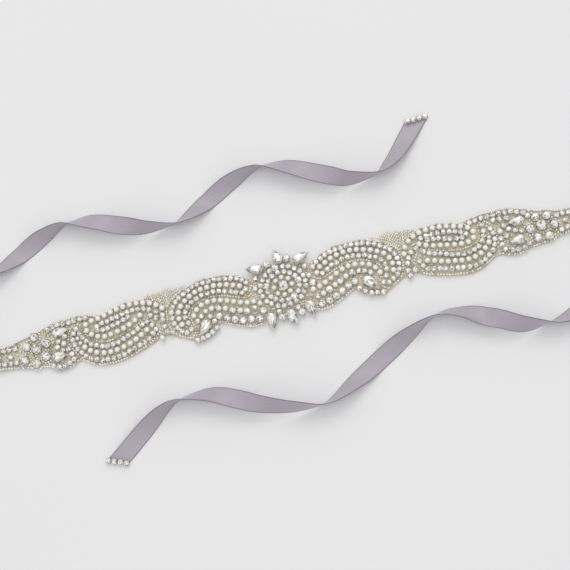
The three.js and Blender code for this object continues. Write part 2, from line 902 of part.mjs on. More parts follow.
// Sections of a tie: its centre, its direction, and the way across the ribbon as it rolls.
function tieSections(rows, slant) {
  const route = new THREE.CatmullRomCurve3(
    rows.map(({ along, across }) => new THREE.Vector3(along, across, 0)),
    false,
    "catmullrom",
  );
  const roll = new THREE.CatmullRomCurve3(
    rows.map(({ turn, lift }) => new THREE.Vector3(turn, lift, 0)),
    false,
    "catmullrom",
  );
  const steps = (rows.length - 1) * TIE_STEPS;
  const samples = Array.from({ length: steps + 1 }, (_, i) => {
    const centre = route.getPoint(i / steps);
    const { x: turn, y: lift } = roll.getPoint(i / steps);
    const angle = radians(turn);
    const edgeHeight = (RIBBON_WIDTH / 2) * softRise(Math.sin(angle));
    const faceHeight = (RIBBON_THICKNESS / 2) * Math.abs(Math.cos(angle));
    centre.z = edgeHeight + faceHeight + Math.max(0, lift);
    return { centre, angle };
  });
  const end = samples[steps].centre;
  return samples.map(({ centre, angle }, i) => {
    const before = samples[Math.max(i - 1, 0)].centre;
    const after = samples[Math.min(i + 1, steps)].centre;
    const forward = after.clone().sub(before).normalize();
    const left = new THREE.Vector3(0, 0, 1).cross(forward).normalize();
    const up = forward.clone().cross(left);
    const across = left.multiplyScalar(Math.cos(angle)).addScaledVector(up, Math.sin(angle));
    const cut = slant * Math.max(0, 1 - centre.distanceTo(end) / CUT_LENGTH);
    return { centre, forward, across, cut };
  });
}

// The ribbon's wall round some of a tie's sections, never below the surface.
function ribbonGeometry(sections) {
  const rings = sections.map(({ centre, forward, across, cut }) => {
    const face = forward.clone().cross(across).normalize();
    const corner = (side, thick) => {
      const p = centre
        .clone()
        .addScaledVector(across, (side * RIBBON_WIDTH) / 2)
        .addScaledVector(forward, side * cut)
        .addScaledVector(face, (thick * RIBBON_THICKNESS) / 2);
      return p.setZ(Math.max(0, p.z));
    };
    return [corner(-1, -1), corner(1, -1), corner(1, 1), corner(-1, 1)];
  });
  return loft(rings);
}

// Crystals in a metal cup chain, sewn along the ribbon's slanting cut end.
function trimGeometry({ centre, forward, across, cut }) {
  const along = across.clone().multiplyScalar(RIBBON_WIDTH / 2).addScaledVector(forward, cut);
  along.setZ(0).normalize();
  const middle = centre.clone().addScaledVector(forward, -TRIM_INSET);
  const beads = Array.from({ length: TRIM_CRYSTALS }, (_, i) => {
    const p = middle.clone().addScaledVector(along, (i - (TRIM_CRYSTALS - 1) / 2) * TRIM_PITCH);
    return { bead: "crystal", at: [p.x, p.y] };
  });
  return beadString(beads, { bottomAt: () => RIBBON_THICKNESS + TRIM_GAP });
}

function buildTie(side, rows, slant) {
  const sections = tieSections(rows, slant);
  const split = TIE_SPLIT_ROW * TIE_STEPS;
  const loop = sections.slice(0, split + 1);
  const tail = sections.slice(split);
  const { centre, forward } = loop[split];
  loop[split] = { ...loop[split], centre: centre.clone().addScaledVector(forward, -SEAM_GAP) };
  return [
    part(`${side}_tie_loop`, ribbonGeometry(loop), COLOURS.satin),
    part(`${side}_tie_tail`, ribbonGeometry(tail), COLOURS.satin),
    part(`${side}_tie_trim`, trimGeometry(tail[tail.length - 1]), COLOURS.crystal),
  ];
}

const sash = new THREE.Group();
sash.name = "bridal_sash";
sash.add(part("net_band", netGeometry(), COLOURS.net));
sash.add(...buildSunburst());
sash.add(...buildHalf("left"), ...buildHalf("right"));
sash.add(...buildTie("left", LEFT_TIE, LEFT_CUT_SLANT));
sash.add(...buildTie("right", RIGHT_TIE, RIGHT_CUT_SLANT));
export default sash;
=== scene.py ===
import math
import random

import bmesh
import bpy
from mathutils import Euler, Matrix, Vector


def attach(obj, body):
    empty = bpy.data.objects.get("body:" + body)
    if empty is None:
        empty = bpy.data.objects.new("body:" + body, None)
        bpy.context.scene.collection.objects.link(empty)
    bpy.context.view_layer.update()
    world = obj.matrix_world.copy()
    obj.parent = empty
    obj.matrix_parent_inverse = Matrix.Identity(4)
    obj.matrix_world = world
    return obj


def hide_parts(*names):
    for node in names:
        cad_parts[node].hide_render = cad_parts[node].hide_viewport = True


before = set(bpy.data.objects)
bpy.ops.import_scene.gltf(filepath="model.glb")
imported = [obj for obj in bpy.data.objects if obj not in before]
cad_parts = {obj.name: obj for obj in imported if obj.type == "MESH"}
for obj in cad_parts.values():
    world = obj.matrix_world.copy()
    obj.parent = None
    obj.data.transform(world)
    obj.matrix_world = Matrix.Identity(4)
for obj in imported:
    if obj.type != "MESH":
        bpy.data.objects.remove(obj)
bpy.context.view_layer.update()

# The view: the sash lies on a plain pale table and is seen from above, a little from its near side,
# with the band running up to the right. One broad soft light stands behind it, a weak lamp hangs over
# it, and a white room fills in the rest.
CAMERA_PLACE = (0.03088, -0.15352, 0.56809)
CAMERA_TURN = (14.200, 6.447, -13.053)
scene = bpy.context.scene
scene.view_settings.view_transform = "Standard"
camera_data = bpy.data.cameras.new("camera")
camera_data.sensor_width = 36
camera_data.lens = 68.886
camera_data.clip_start = 0.01
camera = bpy.data.objects.new("camera", camera_data)
camera.location = CAMERA_PLACE
camera.rotation_euler = [math.radians(angle) for angle in CAMERA_TURN]
scene.collection.objects.link(camera)
scene.camera = camera


def add_window(name, place, size, power, colour):
    """A square soft light that faces the middle of the sash."""
    data = bpy.data.lights.new(name, "AREA")
    data.size = size
    data.energy = power
    data.color = colour
    light = bpy.data.objects.new(name, data)
    light.location = place
    light.rotation_euler = Vector(place).to_track_quat("Z", "Y").to_euler()
    scene.collection.objects.link(light)


add_window("back_window", (0.3, 2.0, 2.5), 1.8, 21.0, (1.0, 0.985, 0.965))
add_window("ceiling_lamp", (-0.15, -0.1, 2.2), 0.9, 3.5, (0.97, 0.98, 1.0))


class Wire:
    """A socket in a material, so that sums on its values read as plain expressions."""

    def __init__(self, tree, socket=None):
        self.tree = tree
        self.socket = socket

    def node(self, kind, settings, values, out=0):
        node = self.tree.nodes.new("ShaderNode" + kind)
        for name, value in settings.items():
            if name == "stops":
                while len(node.color_ramp.elements) < len(value):
                    node.color_ramp.elements.new(1)
                for element, (place, colour) in zip(node.color_ramp.elements, value):
                    element.position = place
                    element.color = (*colour, 1)
            else:
                setattr(node, name, value)
        for name, value in values.items():
            if isinstance(value, Wire):
                self.tree.links.new(value.socket, node.inputs[name])
            else:
                node.inputs[name].default_value = value
        return Wire(self.tree, node.outputs[out])

    def sum(self, operation, first, second):
        return self.node("Math", {"operation": operation}, {0: first, 1: second})

    def __add__(self, other):
        return self.sum("ADD", self, other)

    def __sub__(self, other):
        return self.sum("SUBTRACT", self, other)

    def __rsub__(self, other):
        return self.sum("SUBTRACT", other, self)

    def __mul__(self, other):
        return self.sum("MULTIPLY", self, other)

    __radd__ = __add__
    __rmul__ = __mul__


# The room is brightest overhead and greyer towards the floor, which gives the stones their contrast.
world = bpy.data.worlds.new("white_room")
scene.world = world
world.use_nodes = True
room = Wire(world.node_tree)
room_up = room.node("SeparateXYZ", {}, {0: room.node("TexCoord", {}, {}, out="Generated")}, out="Z")
room_stops = [(0.45, (0.42, 0.42, 0.42)), (0.7, (0.68, 0.68, 0.68)), (1.0, (0.80, 0.80, 0.80))]
room_light = room.node("ValToRGB", {"stops": room_stops}, {0: room_up * 0.5 + 0.5})
background = world.node_tree.nodes["Background"]
world.node_tree.links.new(room_light.socket, background.inputs["Color"])
background.inputs["Strength"].default_value = 0.98


def new_material(name, fixed):
    """A material with its fixed values set. Returns it, its shader, and a wire to start sums from."""
    material = bpy.data.materials.new(name)
    material.use_nodes = True
    shader = material.node_tree.nodes["Principled BSDF"]
    for socket, value in fixed.items():
        shader.inputs[socket].default_value = value
    return material, shader, Wire(material.node_tree)


def feed(shader, socket, wire):
    wire.tree.links.new(wire.socket, shader.inputs[socket])


def mixed(share, first, second):
    """Two colours mixed, with the share of the second."""
    return share.node("Mix", {"data_type": "RGBA"}, {0: share, 6: first, 7: second}, out=2)


table_paint, shader, start = new_material("table_paint", {"Roughness": 0.75})
table_at = start.node("TexCoord", {}, {}, out="Object")
cloud = start.node("TexNoise", {}, {"Vector": table_at, "Scale": 3.0, "Detail": 1.0}, out="Fac")
feed(shader, "Base Color", mixed(cloud, (0.85, 0.85, 0.86, 1), (0.88, 0.88, 0.885, 1)))
table_mesh = bmesh.new()
bmesh.ops.create_grid(table_mesh, x_segments=1, y_segments=1, size=4)
table_data = bpy.data.meshes.new("table")
table_mesh.to_mesh(table_data)
table_mesh.free()
table_data.materials.append(table_paint)
table = bpy.data.objects.new("table", table_data)
scene.collection.objects.link(table)


# Net band: one strip of fine beige net on a soft backing, cut to the scalloped outline of the
# beadwork. Every bead is sewn through it, and its tails are sewn down on the two ribbon ties.
MM = 0.001
NET_TOP = 0.95
NET_WALL = 0.85
TAIL_RISE_START = 150
TAIL_RISE_LENGTH = 14
TAIL_RISE = 1.3
NET_SINK = 0.05
PUCKER = 0.04


def eased(share):
    share = min(1, max(0, share))
    return share * share * (3 - 2 * share)


def net_top(along):
    """Height of the net's face. The tail rises on to the ribbon that is sewn under it."""
    return NET_TOP + TAIL_RISE * eased((abs(along) - TAIL_RISE_START) / TAIL_RISE_LENGTH)


def make_piece(name, shape, materials, nodes=()):
    """Turn a bmesh in millimetres into a piece of the sash."""
    bmesh.ops.scale(shape, vec=(MM, MM, MM), verts=shape.verts)
    mesh = bpy.data.meshes.new(name)
    shape.to_mesh(mesh)
    shape.free()
    for material in materials:
        mesh.materials.append(material)
    piece = bpy.data.objects.new(name, mesh)
    scene.collection.objects.link(piece)
    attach(piece, "root")
    if nodes:
        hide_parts(*nodes)
    return piece


def solid_copy(node):
    """A merged copy of a node's mesh, in millimetres."""
    copy = bmesh.new()
    copy.from_mesh(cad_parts[node].data)
    bmesh.ops.scale(copy, vec=(1 / MM, 1 / MM, 1 / MM), verts=copy.verts)
    bmesh.ops.remove_doubles(copy, verts=copy.verts, dist=0.01)
    return copy


net_cloth, shader, start = new_material("net_cloth", {"Roughness": 0.95, "Sheen Weight": 0.1})
net_at = start.node("TexCoord", {}, {}, out="Object")
net_x = start.node("SeparateXYZ", {}, {0: net_at}, out="X")
net_y = start.node("SeparateXYZ", {}, {0: net_at}, out="Y")
MESH_PITCH = 0.0007
mesh_turn = 2 * math.pi / MESH_PITCH
warp = start.node("Math", {"operation": "SINE"}, {0: (net_x + net_y) * mesh_turn})
weft = start.node("Math", {"operation": "SINE"}, {0: (net_x - net_y) * mesh_turn})
threads = start.sum("MAXIMUM", warp, weft) * 0.5 + 0.5
patches = start.node("TexNoise", {}, {"Vector": net_at, "Scale": 160.0, "Detail": 2.0}, out="Fac")
backing = mixed(patches, (0.52, 0.455, 0.325, 1), (0.72, 0.65, 0.50, 1))
feed(shader, "Base Color", mixed(threads, backing, (0.88, 0.82, 0.67, 1)))
net_bump = start.node("Bump", {}, {"Strength": 0.6, "Distance": 0.0002, "Height": threads})
feed(shader, "Normal", net_bump)

net = solid_copy("net_band")
net_edges = sorted({(round(corner.co.x, 3), corner.co.y) for corner in net.verts})
net_pairs = zip(net_edges, net_edges[1:])
net_cuts = [(low[0], low[1], high[1]) for low, high in net_pairs if low[0] == high[0]]
hidden = [face for face in net.faces if face.normal.z < 0.9]
bmesh.ops.delete(net, geom=hidden, context="FACES")
bmesh.ops.join_triangles(net, faces=net.faces, angle_face_threshold=1, angle_shape_threshold=4)
cross_edges = [edge for edge in net.edges if not edge.is_boundary and edge.calc_length() > 6]
bmesh.ops.subdivide_edges(net, edges=cross_edges, cuts=7, use_grid_fill=True)
for corner in net.verts:
    along, across = corner.co.x, corner.co.y
    pucker = math.sin(along * 0.9 + across * 0.4) * math.sin(across * 0.8 - along * 0.3)
    corner.co.z = net_top(along) - NET_SINK + PUCKER * pucker
for face in net.faces:
    face.smooth = True
net_piece = make_piece("net_backing", net, [net_cloth], ["net_band"])
wall = net_piece.modifiers.new("wall", "SOLIDIFY")
wall.thickness = NET_WALL * MM
wall.offset = -1


# Pearls: round ivory pearls threaded in rows and couched down on the net, so that each row follows
# one curve of a scroll. They lie close together along the row.
PEARL_RADIUS = 1.66
SUNBURST_PEARL_RADIUS = 1.5
SEAT = 0.05
BEAD_BASE = 0.35
SIDES = ("left", "right")
chance = random.Random(11)


def string_beads(node):
    """Each bead of a string node: its place on the net, and how far it stands above the net."""
    string = solid_copy(node)
    tops = [
        corner for corner in string.verts
        if all(edge.other_vert(corner).co.z < corner.co.z + 0.01 for edge in corner.link_edges)
    ]
    beads = []
    while tops:
        top = tops.pop()
        twins = [edge.other_vert(top) for edge in top.link_edges if edge.other_vert(top) in tops]
        for twin in twins:
            tops.remove(twin)
        place = sum((corner.co for corner in twins), top.co.copy()) / (1 + len(twins))
        floor = net_top(place.x)
        beads.append((Vector((place.x, place.y, floor)), place.z - floor - BEAD_BASE))
    string.free()
    return beads


def small_shape(name, shape):
    """Keep a small bmesh as a mesh that can be copied many times."""
    mesh = bpy.data.meshes.new(name)
    shape.to_mesh(mesh)
    shape.free()
    return mesh


def add_copy(shape, small, matrix):
    """Add one more copy of a small mesh to a bmesh."""
    copy = small.copy()
    copy.transform(matrix)
    shape.from_mesh(copy)
    bpy.data.meshes.remove(copy)


pearl_coat, shader, start = new_material("pearl_coat", {
    "Roughness": 0.3, "Coat Weight": 1.0, "Coat Roughness": 0.13, "Coat IOR": 2.0, "IOR": 1.6,
})
# Painted shade: each pearl's base colour runs from ivory on top to a darker khaki on its low sides, by the
# way its surface faces. This stands in for shade and for light thrown up from the net. A little noise adds
# random tone.
pearl_at = start.node("TexCoord", {}, {}, out="Object")
pearl_cloud = start.node("TexNoise", {}, {"Vector": pearl_at, "Scale": 240.0, "Detail": 1.0}, out="Fac")
pearl_facing = start.node("TexCoord", {}, {}, out="Normal")
pearl_painted_shade_up = start.node("SeparateXYZ", {}, {0: pearl_facing}, out="Z")
pearl_painted_shade_tints = [(0.1, (0.62, 0.56, 0.43)), (0.4, (0.84, 0.81, 0.71)), (0.75, (0.93, 0.915, 0.865))]
pearl_tone_and_painted_shade = pearl_painted_shade_up * 1.0 + pearl_cloud * 0.4 - 0.3
feed(shader, "Base Color", start.node("ValToRGB", {"stops": pearl_painted_shade_tints}, {0: pearl_tone_and_painted_shade}))

ball = bmesh.new()
bmesh.ops.create_icosphere(ball, subdivisions=2, radius=1)
for face in ball.faces:
    face.smooth = True
pearl_ball = small_shape("pearl_ball", ball)

# Where each bead is sewn on and how wide it is, so that later ones find the room that is left.
taken = []


def add_pearl(shape, place, radius=PEARL_RADIUS):
    taken.append((place, radius))
    size = radius * chance.uniform(0.96, 1.03)
    centre = place + Vector((chance.uniform(-0.1, 0.1), chance.uniform(-0.1, 0.1), size + SEAT))
    add_copy(shape, pearl_ball, Matrix.Translation(centre) @ Matrix.Diagonal((size, size, size * 0.96, 1)))


PEARL_ROWS = ("crest_pearls", "trough_pearls", "oval_pearls", "swag_pearls")
pearl_nodes = {"sunburst": ["sunburst_pearls"]}
for side in SIDES:
    pearl_nodes[side] = [f"{side}_{row}" for row in PEARL_ROWS]
for group, nodes in pearl_nodes.items():
    pearls = bmesh.new()
    for node in nodes:
        for place, height in string_beads(node):
            add_pearl(pearls, place, SUNBURST_PEARL_RADIUS if group == "sunburst" else PEARL_RADIUS)
    make_piece(f"{group}_pearl_rows", pearls, [pearl_coat], nodes)


# Crystals: small round foil-backed crystals, each in a silver cup that four claws close over the
# stone. A needle goes through the cup's foot, and the cups stand side by side along each scroll.
# A kind's radius and height. A bead's height in the solid tells which kind is sewn on there.
CRYSTAL_SIZES = {"crystal": (1.7, 2.3), "wide": (2.2, 2.8), "rosette": (2.6, 3.1), "centre": (3.2, 3.8)}
WIDE_FROM = 2.6
PEARL_FROM = 3
CENTRE_FROM = 3.4
TABLE_SHARE = 0.58
STONE_SHARE = 0.97
CUP_SHARE = 0.6
CUP_FOOT_SHARE = 0.7
CLAW_SHARE = 0.34
CLAW_WIDTH = 0.26
CLAW_LEAN = -0.6

facet_glass, shader, start = new_material("facet_glass", {
    "IOR": 1.7, "Coat Weight": 1.0, "Coat Roughness": 0.03,
})
# Painted glints: a value kept on each facet paints its base colour from dark grey to white. It stands in
# for the light the stone throws back, and it also sets how metallic and glossy the facet is.
glint = start.node("Attribute", {"attribute_name": "glint"}, {}, out="Fac")
painted_glint_tints = [
    (0.0, (0.24, 0.22, 0.185)), (0.25, (0.60, 0.57, 0.51)),
    (0.55, (0.80, 0.785, 0.75)), (1.0, (0.93, 0.925, 0.90)),
]
feed(shader, "Base Color", start.node("ValToRGB", {"stops": painted_glint_tints}, {0: glint}))
feed(shader, "Roughness", 0.28 - glint * 0.16)
feed(shader, "Metallic", 0.5 - glint * 0.35)

silver, shader, start = new_material("silver", {"Metallic": 0.55})
silver_at = start.node("TexCoord", {}, {}, out="Object")
silver_wear = start.node("TexNoise", {}, {"Vector": silver_at, "Scale": 500.0, "Detail": 2.0}, out="Fac")
feed(shader, "Base Color", mixed(silver_wear, (0.72, 0.67, 0.58, 1), (0.95, 0.92, 0.86, 1)))
feed(shader, "Roughness", silver_wear * 0.2 + 0.26)


def in_order(shape):
    """The same mesh with its faces in one order, because a new sphere's come in any order."""
    shape.verts.index_update()
    rings = []
    for face in shape.faces:
        ring = [corner.index for corner in face.verts]
        first = ring.index(min(ring))
        rings.append(ring[first:] + ring[:first])
    ordered = bmesh.new()
    corners = [ordered.verts.new(corner.co) for corner in shape.verts]
    for ring in sorted(rings):
        ordered.faces.new([corners[i] for i in ring])
    ordered.normal_update()
    shape.free()
    return ordered


def brilliant(radius, low, high, sides=8):
    """A cut crown: two rows of facets round a flat table."""
    stone = bmesh.new()
    bmesh.ops.create_uvsphere(stone, u_segments=sides, v_segments=6, radius=radius)
    bmesh.ops.delete(stone, geom=[corner for corner in stone.verts if corner.co.z < -0.01], context="VERTS")
    for corner in stone.verts:
        level = corner.co.z / radius
        if level > 0.8:
            reach = corner.co.xy.length
            if reach > 0.01:
                corner.co.xy *= TABLE_SHARE * radius / reach
            level = 1 if reach > 0.01 else 1.08
        elif level > 0.3:
            corner.co.xy = Matrix.Rotation(math.pi / sides, 2) @ corner.co.xy
            level = 0.6
        corner.co.z = low + (high - low) * level
    bmesh.ops.triangulate(stone, faces=stone.faces)
    return in_order(stone)


def add_claw(shape, place, lean, length, width):
    """A silver claw that leans in over a stone's edge."""
    bmesh.ops.create_cone(
        shape, cap_ends=True, segments=4, radius1=width, radius2=width * 0.45, depth=length,
        matrix=Matrix.Translation(place) @ lean,
    )


def set_crystal(kind):
    """A crystal in its silver cup, standing on the net, as one small mesh."""
    radius, height = CRYSTAL_SIZES[kind]
    seat = height * CUP_SHARE
    shape = brilliant(radius * STONE_SHARE, seat, height)
    stone = set(shape.faces)
    bmesh.ops.create_cone(
        shape, cap_ends=False, segments=8, radius1=radius * CUP_FOOT_SHARE, radius2=radius, depth=seat,
        matrix=Matrix.Translation((0, 0, seat / 2)),
    )
    for i in range(4):
        turn = Matrix.Rotation(math.pi * (i / 2 + 0.25), 4, "Z")
        place = turn @ Vector((radius * 0.92, 0, seat + 0.15))
        lean = turn @ Matrix.Rotation(CLAW_LEAN, 4, "Y")
        add_claw(shape, place, lean, height * CLAW_SHARE, CLAW_WIDTH)
    for face in shape.faces:
        face.material_index = 0 if face in stone else 1
    return small_shape(f"set_{kind}", shape)


set_crystals = {kind: set_crystal(kind) for kind in CRYSTAL_SIZES}


def add_crystal(shape, place, kind="crystal", lean=7):
    taken.append((place, CRYSTAL_SIZES[kind][0]))
    tilt = [math.radians(chance.uniform(-lean, lean)) for _ in range(2)]
    turn = Euler((*tilt, chance.uniform(0, math.pi / 2))).to_matrix().to_4x4()
    shift = Vector((chance.uniform(-0.12, 0.12), chance.uniform(-0.12, 0.12), SEAT))
    add_copy(shape, set_crystals[kind], Matrix.Translation(place + shift) @ turn)


# Painted glints and shade: each facet's painted brightness is picked at random from these lists. Facets
# that face up pick from the brighter list, and steep ones pick from a darker list, which paints shade round
# each stone's edge.
FLAT_PAINTED_GLINTS = (0.0, 0.15, 0.4, 0.65, 0.85, 1.0, 1.0, 1.0)
STEEP_PAINTED_GLINTS = (0.0, 0.2, 0.45, 0.7, 0.9, 1.0)


def paint_facet_glints(shape):
    """Paint each facet a brightness of its own, a painted glint for the light thrown back by the foil;
    steep facets get dark ones more often, a painted shade.
    """
    layer = shape.faces.layers.float.new("glint")
    for face in shape.faces:
        face[layer] = chance.choice(FLAT_PAINTED_GLINTS if face.normal.z > 0.75 else STEEP_PAINTED_GLINTS)


CRYSTAL_ROWS = (
    "crest_outer_crystals", "crest_inner_crystals", "trough_wide_crystals", "drop_arc_crystals",
    "bridge_crystals", "oval_inner_crystals", "swag_inner_crystals", "swag_outer_crystals",
    "shoulder_crystals", "shoulder_inner_crystals", "tail_crystals",
)
SUNBURST_WIDE = [(8.3, 1.1), (4.7, -7.2), (-8.1, 3.4), (-1.4, 10.8), (-6.7, -6.2)]
SAME_SPOT = 1.5
crystal_nodes = {"sunburst": ["sunburst_inner_crystals", "sunburst_outer_crystals"]}
for side in SIDES:
    crystal_nodes[side] = [f"{side}_{row}" for row in CRYSTAL_ROWS]
for group, nodes in crystal_nodes.items():
    crystals = bmesh.new()
    for node in nodes:
        for place, height in string_beads(node):
            picked = any((place.xy - Vector(spot)).length < SAME_SPOT for spot in SUNBURST_WIDE)
            add_crystal(crystals, place, "wide" if picked or height > WIDE_FROM else "crystal")
    paint_facet_glints(crystals)
    make_piece(f"{group}_crystal_rows", crystals, [facet_glass, silver], nodes)


# Mixed chains: pearls and crystals of two sizes, sewn on one after another below the trough's pearls
# and round the side drops.
for side in SIDES:
    nodes = [f"{side}_trough_mixed_beads", f"{side}_side_mixed_beads"]
    chain = bmesh.new()
    for node in nodes:
        for place, height in string_beads(node):
            if height < PEARL_FROM:
                add_crystal(chain, place, "wide" if height > WIDE_FROM else "crystal")
    paint_facet_glints(chain)
    chain_glass = set(chain.faces)
    for node in nodes:
        for place, height in string_beads(node):
            if height > PEARL_FROM:
                add_pearl(chain, place)
    for face in chain.faces:
        if face not in chain_glass:
            face.material_index = 2
    make_piece(f"{side}_mixed_chain", chain, [facet_glass, silver, pearl_coat], nodes)


# Rosettes and the middle crystal: larger round crystals in claw cups. Each rosette has one large
# crystal with six round it, and the largest of all sits in the middle of the sunburst.
for side in SIDES:
    rosette = bmesh.new()
    for place, height in string_beads(f"{side}_rosette"):
        add_crystal(rosette, place, "centre" if height > CENTRE_FROM else "rosette", lean=3)
    paint_facet_glints(rosette)
    make_piece(f"{side}_rosette_crystals", rosette, [facet_glass, silver], [f"{side}_rosette"])
MIDDLE_PLACE = (0, 1, net_top(0))
middle = bmesh.new()
add_crystal(middle, Vector(MIDDLE_PLACE), "centre", lean=1)
paint_facet_glints(middle)
make_piece("middle_crystal", middle, [facet_glass, silver], ["sunburst_centre_crystal"])


# Drop stones: pear-shaped cut crystals in silver settings. A claw holds the pointed end and four
# more hold the sides, and the stones of the sunburst point outwards past the net. Each form says how
# far the stone stands out past its solid and how pointed it is.
SIDE_DROPS = ("trough_drop", "upper_side_drop", "lower_side_drop")
SUNBURST_DROPS = ("top_left", "top", "top_right", "bottom_left", "bottom", "bottom_right")
DROP_SIDES = 12
DROP_FORM = (0.45, 1.9)
TROUGH_DROP_FORM = (0.6, 1.35)
DROP_RISE = 0.1
DROP_SINK = 0.2
DROP_FOOT_SHARE = 0.75
SIDE_CLAW_ANGLES = (62, 128, -128, -62)
SIDE_CLAW = {"length": 1.1, "width": 0.36}
SIDE_CLAW_LEAN = -0.7
SIDE_CLAW_REACH = 0.95
TIP_CLAW_LEAN = -1.15
TIP_CLAW_REACH = 0.9
TIP_CLAW_SHARE = 0.24
TIP_CLAW_WIDTH = 0.55


def pear_place(place, half_width, to_tip, point):
    """Where a place on a unit circle comes to lie on a pear that points along X."""
    if place.x <= 0:
        return half_width * place
    reach = place.length
    aside = math.copysign(abs(place.y / reach) ** point, place.y)
    return Vector((to_tip * place.x, half_width * reach * aside))


def add_drop(shape, node):
    """A drop stone in its silver setting, on the place, heading and height of the node's solid."""
    solid = solid_copy(node)
    heights = sorted({round(corner.co.z, 2) for corner in solid.verts})
    foot, girdle, top = heights[0], heights[1], heights[-1]
    outline = [corner.co.xy for corner in solid.verts if abs(corner.co.z - girdle) < 0.05]
    middle = sum(outline, Vector((0, 0))) / len(outline)
    tip = max(outline, key=lambda place: (place - middle).length)
    ahead = (tip - middle).normalized()
    half_width = max(abs((place - tip).dot(ahead.orthogonal())) for place in outline)
    heart = tip - ahead * (max((tip - place).dot(ahead) for place in outline) - half_width)
    margin, point = TROUGH_DROP_FORM if node.endswith("trough_drop") else DROP_FORM
    half_width += margin
    to_tip = (tip - heart).length + margin
    solid.free()

    drop = brilliant(0.98, girdle - DROP_SINK, top + DROP_RISE, DROP_SIDES)
    stone = set(drop.faces)
    bmesh.ops.create_cone(
        drop, cap_ends=False, segments=DROP_SIDES, radius1=DROP_FOOT_SHARE, radius2=0.98,
        depth=girdle - foot, matrix=Matrix.Translation((0, 0, (girdle + foot) / 2)),
    )
    for corner in drop.verts:
        corner.co.xy = pear_place(corner.co.xy, half_width, to_tip, point)
    for angle in SIDE_CLAW_ANGLES:
        turn = Matrix.Rotation(math.radians(angle), 4, "Z")
        spot = pear_place((turn @ Vector((SIDE_CLAW_REACH, 0, 0))).xy, half_width, to_tip, point)
        lean = turn @ Matrix.Rotation(SIDE_CLAW_LEAN, 4, "Y")
        add_claw(drop, (*spot, girdle + 0.35), lean, **SIDE_CLAW)
    lean = Matrix.Rotation(TIP_CLAW_LEAN, 4, "Y")
    tip_claw = (to_tip * TIP_CLAW_REACH, 0, girdle + 0.25)
    add_claw(drop, tip_claw, lean, to_tip * TIP_CLAW_SHARE, TIP_CLAW_WIDTH)
    for face in drop.faces:
        face.material_index = 0 if face in stone else 1
    turn = Matrix.Rotation(math.atan2(ahead.y, ahead.x), 4, "Z")
    add_copy(shape, small_shape("drop", drop), Matrix.Translation((*heart, 0)) @ turn)
    taken.append((heart.to_3d(), half_width))
    taken.append((heart.lerp(tip, 0.5).to_3d(), half_width * 0.7))


def make_drops(name, nodes):
    drops = bmesh.new()
    for node in nodes:
        add_drop(drops, node)
    paint_facet_glints(drops)
    make_piece(name, drops, [facet_glass, silver], nodes)


for side in SIDES:
    make_drops(f"{side}_side_drops", [f"{side}_{drop}" for drop in SIDE_DROPS])
make_drops("sunburst_drops", [f"sunburst_drop_{drop}" for drop in SUNBURST_DROPS])


# Small fillers: single crystals and pearls that fill the corners between the rows, each sewn down
# by itself. Those of the first two lists are on both halves, wherever the rows leave room for them.
FILLER_CRYSTALS = [
    (13.8, 8.8), (19.5, 3.3), (153.8, -2.2), (160, -1.8), (167, -1.6), (5.4, -12.4), (17.9, 7.3),
]
FILLER_PEARLS = [(15, 3.2), (14.1, -5.3), (151.4, -2.2)]
SIDE_CRYSTALS = {
    "left": [(-40.4, -8.6), (-41.8, -5.6), (-70.6, 4.8), (-70.9, 1.2), (-73.9, 3.6), (-63.9, -9)],
    "right": [(67.3, -10.5), (70.4, -8.2), (122, -2.5), (135.8, 5.3), (52.7, -10.4), (75.4, -2.1)],
}
SIDE_WIDE_CRYSTALS = {
    "left": [(-13.1, -9.5), (-16.1, -13.3), (-5.9, 14.9), (-4, -15.6)],
    "right": [(16.2, -1), (5.3, 15.5), (6.7, -15.6)],
}
SIDE_PEARLS = {"left": [(-65, -11.1), (-69.6, -10.4)], "right": []}
FILLER_PEARL_RADIUS = 1.5
SMALL_PEARLS = {
    "left": [(-114.4, -2.3), (-115.5, 0.7), (-57.9, -9.2)],
    "right": [(112.9, -0.8), (113.2, 2.2)],
}
SMALL_PEARL_RADIUS = 1.2
SQUEEZE = 0.5


def sway(along):
    """How far the left tail lies over."""
    return 2 * eased((-along - 118) / 30)


def on_net(along, across):
    return Vector((along, across + sway(along), net_top(along)))


def has_room(spot, radius):
    """Whether a place is clear of the beads that are already sewn on."""
    return all((spot.xy - other.xy).length > reach + radius for other, reach in taken)


for side, way in zip(SIDES, (-1, 1)):
    places = [(way * along, across) for along, across in FILLER_CRYSTALS] + SIDE_CRYSTALS[side]
    fillers = bmesh.new()
    for kind, spots in (("crystal", places), ("wide", SIDE_WIDE_CRYSTALS[side])):
        for along, across in spots:
            if has_room(on_net(along, across), CRYSTAL_SIZES[kind][0] - SQUEEZE):
                add_crystal(fillers, on_net(along, across), kind)
    paint_facet_glints(fillers)
    make_piece(f"{side}_filler_crystals", fillers, [facet_glass, silver])
    places = [(way * along, across) for along, across in FILLER_PEARLS] + SIDE_PEARLS[side]
    fillers = bmesh.new()
    for radius, spots in ((FILLER_PEARL_RADIUS, places), (SMALL_PEARL_RADIUS, SMALL_PEARLS[side])):
        for along, across in spots:
            if has_room(on_net(along, across), radius - SQUEEZE):
                add_pearl(fillers, on_net(along, across), radius)
    make_piece(f"{side}_filler_pearls", fillers, [pearl_coat])


# Seed-bead edging: tiny champagne and silver glass beads threaded in rows along both edges of every
# scroll, couched down so close that they read as a fine cord. A ring of them goes round each crystal
# of the rosettes.
SEED_RADIUS = 0.68
SEED_LENGTH = 0.78
SEED_PITCH = 1.52
SEED_TUCK = 0.25
SEED_NEAR = 5
LEAST_SEED_GAP = 0.6
LEAST_RING_GAP = 0.75
LINE_STEPS = 12
